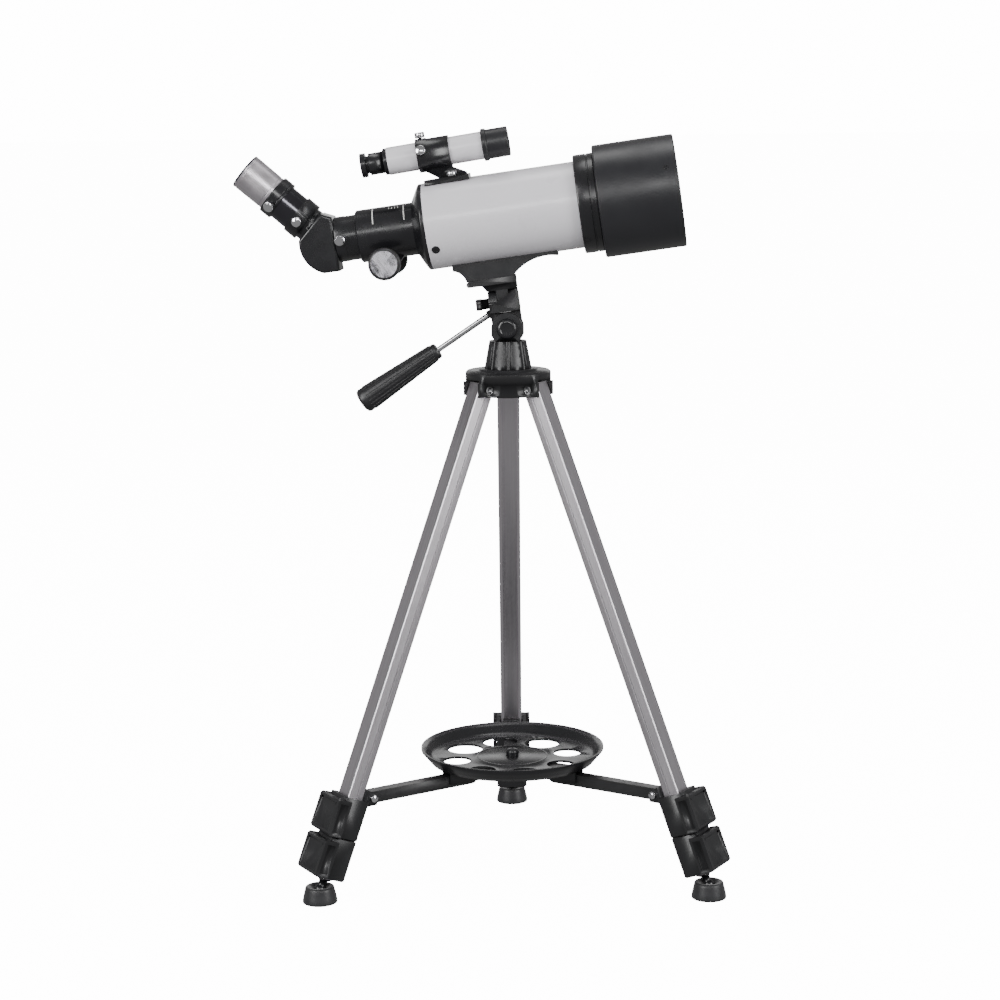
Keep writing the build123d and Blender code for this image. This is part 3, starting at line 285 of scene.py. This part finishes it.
def white_ink():
    """Pad-printed white ink: flat and slightly grey where it is thin."""
    material, shader, place = new_material("ink_white_printed", {"Roughness": 0.6, "IOR": 1.5})
    tint(material, shader, grain(material, place, 0.8), "#A9A9A6", "#E2E2DE")
    return material


ENAMEL, GLOSS, SATIN, SHIELD = white_enamel(), gloss_abs(), satin_abs(), painted_shield()
BLACKING, BLASTED, CHROME, DISC = matt_black(), blasted_aluminium(), chrome(), disc_metal()
DARK_CHROME = dark_chrome()
RUBBER, GLASS, INK = rubber(), coated_glass(), white_ink()
ALUMINIUM = {number: drawn_aluminium(f"aluminium_anodised_leg_{number}", LEGS[number]) for number in LEGS}


# --- shapes -----------------------------------------------------------------------------
def turned(points, steps=96):
    """Solid turned about X from the closed (x, radius) outline of its half section."""
    shape = bmesh.new()
    ring = [shape.verts.new((x, 0, radius)) for x, radius in points]
    edges = [shape.edges.new(pair) for pair in zip(ring, ring[1:] + ring[:1])]
    bmesh.ops.spin(shape, geom=ring + edges, cent=(0, 0, 0), axis=(1, 0, 0), dvec=(0, 0, 0),
                   angle=2 * pi, steps=steps, use_merge=True)
    bmesh.ops.remove_doubles(shape, verts=shape.verts, dist=1e-3)
    bmesh.ops.dissolve_degenerate(shape, edges=shape.edges, dist=1e-3)
    return shape


def block(low, high):
    """Box between two corners."""
    low, high = Vector(low), Vector(high)
    shape = bmesh.new()
    size = Matrix.Diagonal((high - low).to_4d())
    size[3][3] = 1
    bmesh.ops.create_cube(shape, size=1, matrix=Matrix.Translation((low + high) / 2) @ size)
    return shape


def join(*shapes):
    """Several shapes as one."""
    scratch = bpy.data.meshes.new("scratch")
    whole = bmesh.new()
    for shape in shapes:
        shape.to_mesh(scratch)
        shape.free()
        whole.from_mesh(scratch)
    bpy.data.meshes.remove(scratch)
    return whole


def moved(shape, x=0, y=0, z=0, turn=0, axis="X"):
    """The shape turned about an axis through the origin, then moved."""
    shape.transform(Matrix.Translation((x, y, z)) @ Matrix.Rotation(radians(turn), 4, axis))
    return shape


def stood(shape, x, angle):
    """The shape turned from X to point away from the tube's axis, at x and at an angle round it."""
    shape.transform(Matrix.Translation((x, 0, 0)) @ Matrix.Rotation(radians(angle), 4, "X")
                    @ Matrix.Rotation(radians(90), 4, "Z"))
    return shape


def blacken(made, place, reach, start=-1e6):
    """Gives matt blacking to the faces of a piece that lie inside a radius and past a start along X."""
    made.data.materials.append(BLACKING)
    back = place.inverted()
    for face in made.data.polygons:
        middle = back @ face.center
        if middle.yz.length < reach and middle.x > start:
            face.material_index = 1


def piece(name, shape, place, material, body, nodes=(), edge=0.3, sharp=30):
    """Finished object: the shape in its place, with eased edges, riding on its body."""
    bmesh.ops.recalc_face_normals(shape, faces=shape.faces)
    shape.transform(place)
    mesh = bpy.data.meshes.new(name)
    shape.to_mesh(mesh)
    shape.free()
    return finished(name, mesh, [material], body, nodes, edge, sharp)


def finished(name, mesh, materials, body, nodes, edge, sharp):
    """Object of a mesh, with its materials, eased edges and body."""
    mesh.shade_smooth()
    mesh.set_sharp_from_angle(angle=radians(sharp))
    made = bpy.data.objects.new(name, mesh)
    bpy.context.scene.collection.objects.link(made)
    for material in materials:
        mesh.materials.append(material)
    if edge:
        ease = made.modifiers.new("eased edges", "BEVEL")
        ease.width = edge * MM
        ease.segments = 2
        ease.limit_method = "ANGLE"
        ease.angle_limit = radians(sharp)
        ease.harden_normals = True
    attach(made, body)
    if nodes:
        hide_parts(*nodes)
    return made


def island_sizes(shape):
    """Connected groups of faces with their lengths, largest first."""
    left, groups = set(shape.faces), []
    while left:
        group, border = set(), [left.pop()]
        while border:
            face = border.pop()
            group.add(face)
            near = {other for edge in face.edges for other in edge.link_faces} & left
            left -= near
            border.extend(near)
        points = [vertex.co for face in group for vertex in face.verts]
        size = sum(max(p[i] for p in points) - min(p[i] for p in points) for i in range(3))
        groups.append((size, group))
    return sorted(groups, key=lambda item: -item[0])


def dressed(node, *materials, sharp=35):
    """Merged copy of a CAD node; its solids take the materials, largest first."""
    source = frame["nodes"][node]
    shape = bmesh.new()
    shape.from_mesh(source.data)
    bmesh.ops.remove_doubles(shape, verts=shape.verts, dist=1e-6)
    for index, (_, group) in enumerate(island_sizes(shape)):
        for face in group:
            face.material_index = min(index, len(materials) - 1)
    mesh = bpy.data.meshes.new(node + "_shape")
    shape.to_mesh(mesh)
    shape.free()
    return finished(node + "_shape", mesh, materials, source["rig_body"], [node], 0, sharp)


def thumbscrew(reach, depth, radius=4.3, length=5.0):
    """Knurled screw along +X: its shank starts at depth, its head at reach."""
    head = turned([(reach, 0), (reach, radius - 0.6), (reach + 0.6, radius), (reach + length - 0.8, radius),
                   (reach + length, radius - 0.8), (reach + length, 0)], steps=36)
    rim = [face for face in head.faces if abs(face.normal.x) < 0.1 and face.calc_area() > 1]
    bmesh.ops.inset_individual(head, faces=rim, thickness=0.12, depth=-0.3)
    shank = turned([(depth, 0), (depth, 1.5), (reach + 0.5, 1.5), (reach + 0.5, 0)], steps=24)
    return join(head, shank)


# --- optical tube -----------------------------------------------------------------------
def make_tube():
    low, high = span("main_tube", TUBE)
    r = high.z
    outside = turned([(low.x, r - 1.2), (low.x, r), (high.x, r), (high.x, r - 1.2)], steps=160)
    tube = piece("tube_body", outside, TUBE, ENAMEL, "optical_tube", ["main_tube"], edge=0.2)
    blacken(tube, TUBE, r - 0.7)
    screw_in = 6.5
    for angle in (211, 331, 91):
        head = turned([(r - 0.5, 0), (r - 0.5, 3.7), (r + 0.4, 3.6), (r + 0.9, 2.6), (r + 0.9, 1.3),
                       (r + 0.3, 1.1), (r + 0.3, 0)], steps=32)
        stood(head, low.x + screw_in, angle)
        piece(f"tube_screw_{angle}", head, TUBE, GLOSS, "optical_tube", edge=0.1)


def make_shield():
    low, high = span("dew_shield", TUBE)
    back, front, r = low.x, high.x, high.z
    outline = [(back, 35), (back, r - 1.6), (back + 0.4, r - 0.6), (back + 1.2, r), (front - 1.0, r),
               (front, r - 0.8), (front, r - 2.2), (back + 2.4, r - 2.2), (back + 2.4, 35)]
    shield = piece("dew_shield_shell", turned(outline, 160), TUBE, SHIELD, "optical_tube", ["dew_shield"],
                   edge=0.25)
    blacken(shield, TUBE, r - 1.7, back + 0.5)
    for index in range(4):
        x = back + 14 + 13 * index
        baffle = [(x, r - 2.3), (x, r - 4.2), (x + 0.6, r - 4.2), (x + 1.4, r - 2.3)]
        piece(f"shield_baffle_{index + 1}", turned(baffle, 96), TUBE, BLACKING, "optical_tube", edge=0)
    screw_in = 9.5
    for angle in (207, 27):
        dimple = turned([(r - 0.6, 0), (r - 0.6, 2.0), (r + 0.25, 1.9), (r + 0.3, 1.0), (r - 0.2, 0.8),
                         (r - 0.2, 0)], 24)
        stood(dimple, front - screw_in, -angle)
        piece(f"shield_screw_{angle}", dimple, TUBE, GLOSS, "optical_tube", edge=0.1)


def make_objective():
    low, high = span("objective_cell", TUBE)
    front, r = high.x, high.z
    tube_end = span("main_tube", TUBE)[1]
    start, inner = tube_end.x, tube_end.z - 1.25
    outline = [(low.x, inner - 1.2), (low.x, inner), (start, inner), (start, r - 1.4), (start + 0.5, r - 0.4),
               (start + 1.4, r), (front - 6.4, r), (front - 6.0, r - 0.5), (front - 5.2, r - 0.5),
               (front - 4.8, r), (front - 0.6, r), (front, r - 0.4), (front, 35.05), (front - 9, 35.05),
               (front - 9, inner - 2.6),
               (start, inner - 1.2)]
    piece("objective_ring", turned(outline, 160), TUBE, GLOSS, "optical_tube", ["objective_cell"], edge=0.2)
    dressed("objective_lens", GLASS)
    keeper = turned([(front - 1.1, 34.9), (front - 1.1, 33.2), (front + 0.6, 33.2), (front + 0.6, 34.9)], 96)
    piece("lens_keeper", keeper, TUBE, BLACKING, "optical_tube", edge=0.15)


def make_rear():
    tube_back = span("main_tube", TUBE)[0].x
    low, high = span("rear_cell", TUBE)
    r, back = span("main_tube", TUBE)[1].z, low.x
    bore, wall, spigot = 21.4, 1.4, r - 1.25
    outline = [(high.x, spigot), (high.x, spigot - 2), (tube_back - 1, spigot - 2), (back + 2.5, bore),
               (back, bore), (back, bore + wall), (tube_back - 4.6, r - 2.4), (tube_back - 3.9, r - 1.2),
               (tube_back - 3.0, r - 0.2),
               (tube_back - 2.2, r), (tube_back, r), (tube_back, spigot)]
    piece("rear_cap", turned(outline, 128), TUBE, GLOSS, "optical_tube", ["rear_cell"], edge=0.25)


def make_focuser():
    low, high = span("focuser_body", TUBE)
    back, front, r = low.x, high.x, high.z
    dressed("focuser_body", GLOSS)
    for x in (back + 15.3, front - 7.2):
        band = bmesh.new()
        inner, outer, width = r - 0.1, r + 0.06, 1.1
        corners = ((x, 0, inner), (x, 0, outer), (x + width, 0, outer), (x + width, 0, inner))
        face = band.faces.new([band.verts.new(point) for point in corners])
        bmesh.ops.rotate(band, verts=band.verts[:], cent=(0, 0, 0),
                         matrix=Matrix.Rotation(radians(-35), 3, "X"))
        bmesh.ops.spin(band, geom=[face], cent=(0, 0, 0), axis=(1, 0, 0), dvec=(0, 0, 0), angle=radians(100),
                       steps=40)
        piece(f"ring_mark_{round(-x)}", band, TUBE, INK, "optical_tube", edge=0)
    marks = []
    for index in range(4):
        mark = block((back + 30 + 2.6 * index, -1.4, r - 0.1), (back + 30.8 + 2.6 * index, 1.4, r + 0.06))
        marks.append(moved(mark, turn=24))
    piece("scale_marks", join(*marks), TUBE, INK, "optical_tube", edge=0)


def make_focus_knobs():
    dressed("focus_knobs", SATIN)
    low, high = span("focus_knobs", TUBE)
    centre = (low + high) / 2
    for side in (1, -1):
        wheel = turned([(28.4, 0), (28.4, 12.6), (29.2, 13.5), (37.0, 13.5), (38.0, 12.7), (38.0, 12.25),
                        (37.6, 12.0), (37.6, 0)], steps=60)
        rim = [face for face in wheel.faces if abs(face.normal.x) < 0.1 and face.calc_area() > 8]
        bmesh.ops.inset_individual(wheel, faces=rim, thickness=0.3, depth=-0.5)
        disc = turned([(37.5, 0), (37.5, 11.9), (37.8, 11.9), (38.0, 11.6), (38.0, 0)], steps=64)
        for name, shape, material in (("knob", wheel, SATIN), ("knob_disc", disc, DISC)):
            moved(shape, centre.x, 0, centre.z, 90 * side, "Z")
            where = "far" if side > 0 else "near"
            piece(f"focus_{name}_{where}", shape, TUBE, material, "focus_knobs", edge=0.1)


def make_drawtube():
    dressed("drawtube", GLOSS)
    low, high = span("drawtube", TUBE)
    r = high.z
    lip = turned([(low.x, r - 1.8), (low.x, r + 0.02), (low.x + 1.0, r + 0.3), (low.x + 8.6, r + 0.3),
                  (low.x + 9.2, r - 0.5)], 96)
    piece("drawtube_lip", lip, TUBE, GLOSS, "drawtube", edge=0.15)
    screw = span("drawtube_screw", TUBE)
    middle = (screw[0] + screw[1]) / 2
    head = moved(thumbscrew(20.5, 16.1), x=middle.x, turn=-90, axis="Z")
    piece("drawtube_clamp_screw", head, TUBE, CHROME, "drawtube_screw", ["drawtube_screw"], edge=0.1)


# --- diagonal and eyepiece --------------------------------------------------------------
def make_diagonal():
    dressed("diagonal", GLOSS)
    dressed("prism", GLASS)
    dressed("diagonal_screw", CHROME)


def make_eyepiece():
    low, high = span("barlow", EYE)
    r = 15.875
    collar = 53.0
    barrel = turned([(low.x, r - 1.2), (low.x, r), (collar + 0.2, r), (collar + 0.2, r - 1.2)], 96)
    piece("erecting_barrel", barrel, EYE, DARK_CHROME, "barlow", ["barlow"], edge=0)
    ring = turned([(collar, r - 0.1), (collar, 17.4), (collar + 0.6, 18), (collar + 2.2, 18),
                   (collar + 2.6, 17.6), (collar + 3.0, 18), (high.x - 0.6, 18), (high.x, 17.4),
                   (high.x, r + 0.1)], 96)
    piece("erecting_collar", ring, EYE, GLOSS, "barlow", edge=0.15)
    screw = thumbscrew(18.2, 16.1)
    screw.transform(Matrix.Translation((collar + 5, 0, 0)) @ Matrix.Rotation(radians(-24), 4, "X")
                    @ Matrix.Rotation(radians(-90), 4, "Z"))
    piece("eyepiece_screw", screw, EYE, CHROME, "barlow", edge=0.1)
    r, shoulder = 16.3, 64.1
    top = span("eyepiece", EYE)[1].x - 1.6
    body = turned([(collar, 13), (collar, 15.8), (shoulder, 15.8), (shoulder, r - 0.4), (66.0, r - 0.35),
                   (66.3, r - 0.7), (66.9, r - 0.7), (67.2, r - 0.3), (top - 2.0, r), (top - 1.7, r - 0.3),
                   (top - 1.2, r - 0.3),
                   (top - 0.9, r), (top, r), (top, 13)], 128)
    piece("eyepiece_shell", body, EYE, BLASTED, "eyepiece", ["eyepiece"], edge=0.12)
    cup = turned([(top, 9), (top, r), (top + 1.0, r), (top + 1.6, r - 0.8), (top + 1.6, 12),
                  (top + 0.4, 9)], 96)
    piece("eye_rim", cup, EYE, GLOSS, "eyepiece", edge=0.15)
    dressed("eyepiece_lens", GLASS)


# --- finder -----------------------------------------------------------------------------
def make_finder():
    low, high = span("finder_tube", FINDER)
    back, front = low.x + 3.5, high.x - 22.9
    r = 12.0
    tube = turned([(back, r - 1.2), (back, r), (front, r), (front, r - 1.2)], 96)
    piece("finder_body", tube, FINDER, ENAMEL, "optical_tube", ["finder_tube"], edge=0.15)
    hood = turned([(front, 10.8), (front, 13.6), (front + 0.6, 14), (front + 3.4, 14), (front + 4.1, 13.4),
                   (front + 4.3, 12.8), (high.x - 0.6, 12.8), (high.x, 12.3), (high.x, 11.4),
                   (front + 4, 10.8)], 96)
    piece("finder_hood", hood, FINDER, SHIELD, "optical_tube", edge=0.2)
    cap = turned([(low.x, 8.3), (low.x, 11.0), (low.x + 0.6, 11.5), (back, 11.5), (back, 8.3)], 96)
    piece("finder_cap", cap, FINDER, GLOSS, "optical_tube", edge=0.15)
    lens = turned([(front + 3, 0), (front + 3, 10.7), (front + 5, 10.7), (front + 5.9, 7),
                   (front + 6.2, 0)], 64)
    piece("finder_lens", lens, FINDER, GLASS, "optical_tube", edge=0)
    dressed("finder_eyepiece", GLOSS)
    eye_low = span("finder_eyepiece", FINDER)[0].x
    eye_lens = turned([(eye_low + 0.8, 0), (eye_low + 0.8, 4.2), (eye_low + 2.4, 4.2), (eye_low + 2.4, 0)], 32)
    piece("finder_eye_lens", eye_lens, FINDER, GLASS, "finder_eyepiece", edge=0)
    dressed("finder_bracket", GLOSS)
    dressed("finder_screws", CHROME)


# --- head -------------------------------------------------------------------------------
def make_head():
    for node in ("tube_saddle", "platform", "tilt_body", "flip_knob", "pan_collar"):
        dressed(node, SATIN)
    dressed("pan_yoke", SATIN, SATIN)
    dressed("tilt_bolt", GLOSS)
    outer = span("tilt_bolt", YOKE)[0].y
    cap = turned([(0, 0), (0.6, 5.2), (1.2, 6.0), (0.9, 7.4), (0.2, 8.2), (-0.6, 8.6), (-0.6, 0)], 64)
    piece("tilt_cap_dome", moved(cap, y=outer, turn=-90, axis="Z"), YOKE, GLOSS, "pan_yoke", edge=0)
    low, high = span("handle_rod", HANDLE)
    rod = turned([(low.x, 0), (low.x, 2.0), (low.x + 0.5, 2.5), (high.x - 0.5, 2.5), (high.x, 2.0),
                  (high.x, 0)], 48)
    piece("handle_rod_bar", rod, HANDLE, CHROME, "handle", ["handle_rod"], edge=0)


def make_grip():
    low, high = span("handle_grip", HANDLE)
    start, end = low.x, high.x
    outline = [(start, 2.6), (start, 6.1), (start + 0.8, 6.9), (start + 2.0, 7.25), (start + 5.0, 7.4),
               (end - 7.5, 10.95), (end - 3.0, 11.15), (end - 1.0, 10.2), (end, 8.0), (end, 0),
               (end - 11.5, 0), (end - 11.5, 2.6)]
    grip = turned(outline, steps=40)
    ribs = [face for face in grip.faces
            if face.calc_center_median().yz.length > 7 and face.calc_area() > 40 and abs(face.normal.x) < 0.3]
    bmesh.ops.inset_individual(grip, faces=ribs[::2], thickness=0.32, depth=-0.6)
    piece("grip_sleeve", grip, HANDLE, SATIN, "handle", ["handle_grip"], edge=0.12)


# --- hub and legs -----------------------------------------------------------------------
def make_hub():
    dressed("hub", SATIN)
    dressed("leg_bolts", CHROME)


def leg_section(depth, width):
    """Half-open outline of the leg's extrusion: a groove runs along each side near the inner edge."""
    x, y = depth / 2, width / 2
    half = [(x, y - 1.0), (x - 0.8, y), (0.2, y), (-0.5, y - 0.7), (-1.2, y - 0.4), (-x + 1.6, y - 1.1),
            (-x, y - 3.0)]
    return half + [(a, -b) for a, b in reversed(half)]


def profile(outline, start, end, wall, offset):
    """Solid extrusion of a section along the leg, between two distances below its bolt, with a wall's width
    inset on its end faces.
    """
    shape = bmesh.new()
    ring = [shape.verts.new((x + offset, y, -start)) for x, y in outline]
    face = shape.faces.new(ring)
    made = bmesh.ops.extrude_face_region(shape, geom=[face])["geom"]
    bmesh.ops.translate(shape, verts=[part for part in made if isinstance(part, bmesh.types.BMVert)],
                        vec=(0, 0, start - end))
    bmesh.ops.recalc_face_normals(shape, faces=shape.faces)
    ends = [part for part in shape.faces if abs(part.normal.z) > 0.9]
    bmesh.ops.inset_region(shape, faces=ends, thickness=wall, depth=0)
    return shape


def make_leg(number):
    place, metal = LEGS[number], ALUMINIUM[number]
    low, high = span(f"leg_{number}_tube", place)
    offset = (low.x + high.x) / 2
    tube = profile(leg_section(high.x - low.x, high.y - low.y), -high.z, -low.z, 1.2, offset)
    piece(f"leg_{number}_extrusion", tube, place, metal, f"leg_{number}", [f"leg_{number}_tube"], edge=0.25,
          sharp=20)
    dressed(f"leg_{number}_mid_tube", metal)
    dressed(f"leg_{number}_lower_tube", metal, GLOSS)
    for part in ("clamp", "mid_clamp", "lever", "mid_lever"):
        dressed(f"leg_{number}_{part}", SATIN)


def make_foot(number):
    node = f"leg_{number}_foot"
    low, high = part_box(node)
    middle = (low + high) / 2
    place = axes((middle.x, middle.y, 0), (0, 0, 1), (1, 0, 0))
    top = high.z / MM
    outline = [(0.2, 0), (0, 14.2), (0.3, 15.0), (0.9, 15.2), (2.6, 15.1), (6, 14.4), (top - 3, 13.1),
               (top - 1.1, 12.7), (top - 0.3, 12.2), (top, 11.4), (top, 9.1), (11.2, 5.5), (11, 0)]
    piece(f"foot_{number}_pad", turned(outline, 96), place, RUBBER, node, [node], edge=0, sharp=50)


# --- tray -------------------------------------------------------------------------------
def make_tray():
    dressed("spreader", SATIN)
    dressed("tray", GLOSS)
    low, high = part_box("tray_knob")
    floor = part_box("tray")[0].z
    upright = axes((0, 0, high.z), (0, 0, 1), (1, 0, 0))
    stud = low.z / MM - high.z / MM
    knob = turned([(stud, 0), (stud, 3.0), (-7.0, 3.0), (-7.0, 5.4), (-6.0, 5.6), (-3.0, 5.6), (-1.4, 5.0),
                   (-0.4, 3.4), (0, 0)], 64)
    piece("tray_knob_dome", knob, upright, GLOSS, "tray_knob", ["tray_knob"], edge=0, sharp=50)
    raised = axes((0, 0, floor + 2.8 * MM), (0, 0, 1), (1, 0, 0))
    ring = turned([(-0.1, 30.6), (0.35, 30.9), (0.35, 31.7), (-0.1, 32.0)], 128)
    piece("tray_ring", ring, raised, GLOSS, "tray", edge=0)
    for number in LEGS:
        dressed(f"brace_{number}", SATIN, CHROME)


make_tube()
make_shield()
make_objective()
make_rear()
make_focuser()
make_focus_knobs()
make_drawtube()
make_diagonal()
make_eyepiece()
make_finder()
make_head()
make_grip()
make_hub()
make_tray()
for number in LEGS:
    make_leg(number)
    make_foot(number)


# --- floor, light and camera ------------------------------------------------------------
FLOOR_GLOW, BACKDROP, ROOM = 14.0, 15.0, 0.3
SOFTBOXES = (    # name, place, aim, width, height, watts
    ("softbox_left", (-1.7, -1.5, 1.2), (0, 0, 0.35), 0.9, 1.5, 48),
    ("softbox_right", (1.9, -1.3, 1.1), (0, 0, 0.35), 0.9, 1.5, 45),
    ("softbox_top", (0.2, 0.3, 2.3), (0, 0, 0.3), 1.2, 0.8, 12),
    ("softbox_front", (0, -2.6, 1.55), (0, 0, 0.5), 1.6, 0.4, 22),
    ("softbox_back", (0, 2.4, 1.0), (0, 0, 0.3), 2.4, 0.8, 9),
)


def pale_floor():
    """White sweep under and behind the object, lit like a light table; it gives no light to the object."""
    material, shader, place = new_material(
        "floor_white_laminate",
        {"Roughness": 0.7, "Emission Color": (1, 1, 1, 1), "Emission Strength": FLOOR_GLOW})
    tint(material, shader, grain(material, place, 300), "#D8D8DA", "#DEDEE0")
    shape = bmesh.new()
    bmesh.ops.create_grid(shape, x_segments=1, y_segments=1, size=60)
    mesh = bpy.data.meshes.new("floor")
    shape.to_mesh(mesh)
    shape.free()
    mesh.materials.append(material)
    floor = bpy.data.objects.new("floor", mesh)
    bpy.context.scene.collection.objects.link(floor)
    floor.visible_diffuse = floor.visible_glossy = False


def softbox(name, spot, aim, width, height, watts):
    """Rectangular lamp at a spot, facing a point of the object. Sizes are in metres."""
    data = bpy.data.lights.new(name, "AREA")
    data.shape = "RECTANGLE"
    data.size, data.size_y, data.energy = width, height, watts
    lamp = bpy.data.objects.new(name, data)
    lamp.location = spot
    lamp.rotation_euler = (Vector(aim) - Vector(spot)).to_track_quat("-Z", "Y").to_euler()
    bpy.context.scene.collection.objects.link(lamp)


def studio():
    """White surroundings for the eye, and a dim grey room for the object's reflections."""
    world = bpy.data.worlds.new("studio")
    world.use_nodes = True
    world.node_tree.nodes.clear()
    room = add(world, "ShaderNodeBackground", {"Color": (1, 1, 1, 1), "Strength": ROOM})
    white = add(world, "ShaderNodeBackground", {"Color": (1, 1, 1, 1), "Strength": BACKDROP})
    seen = add(world, "ShaderNodeLightPath").outputs["Is Camera Ray"]
    mixed = add(world, "ShaderNodeMixShader",
                {"Fac": seen, 1: room.outputs["Background"], 2: white.outputs["Background"]})
    add(world, "ShaderNodeOutputWorld", {"Surface": mixed.outputs["Shader"]})
    bpy.context.scene.world = world


pale_floor()
for values in SOFTBOXES:
    softbox(*values)
studio()

EYE_SPOT, LOOK_DOWN, ROLL = (-0.0085, -2.016, 0.6757), 9.576, -0.679    # metres, degrees
lens_data = bpy.data.cameras.new("camera")
lens_data.sensor_width = 36
lens_data.lens = 83.05
lens_data.clip_end = 200
camera = bpy.data.objects.new("camera", lens_data)
camera.matrix_world = Matrix.Translation(EYE_SPOT) @ Matrix.Rotation(radians(90 - LOOK_DOWN), 4, "X") \
    @ Matrix.Rotation(radians(ROLL), 4, "Z")
bpy.context.scene.collection.objects.link(camera)
bpy.context.scene.camera = camera
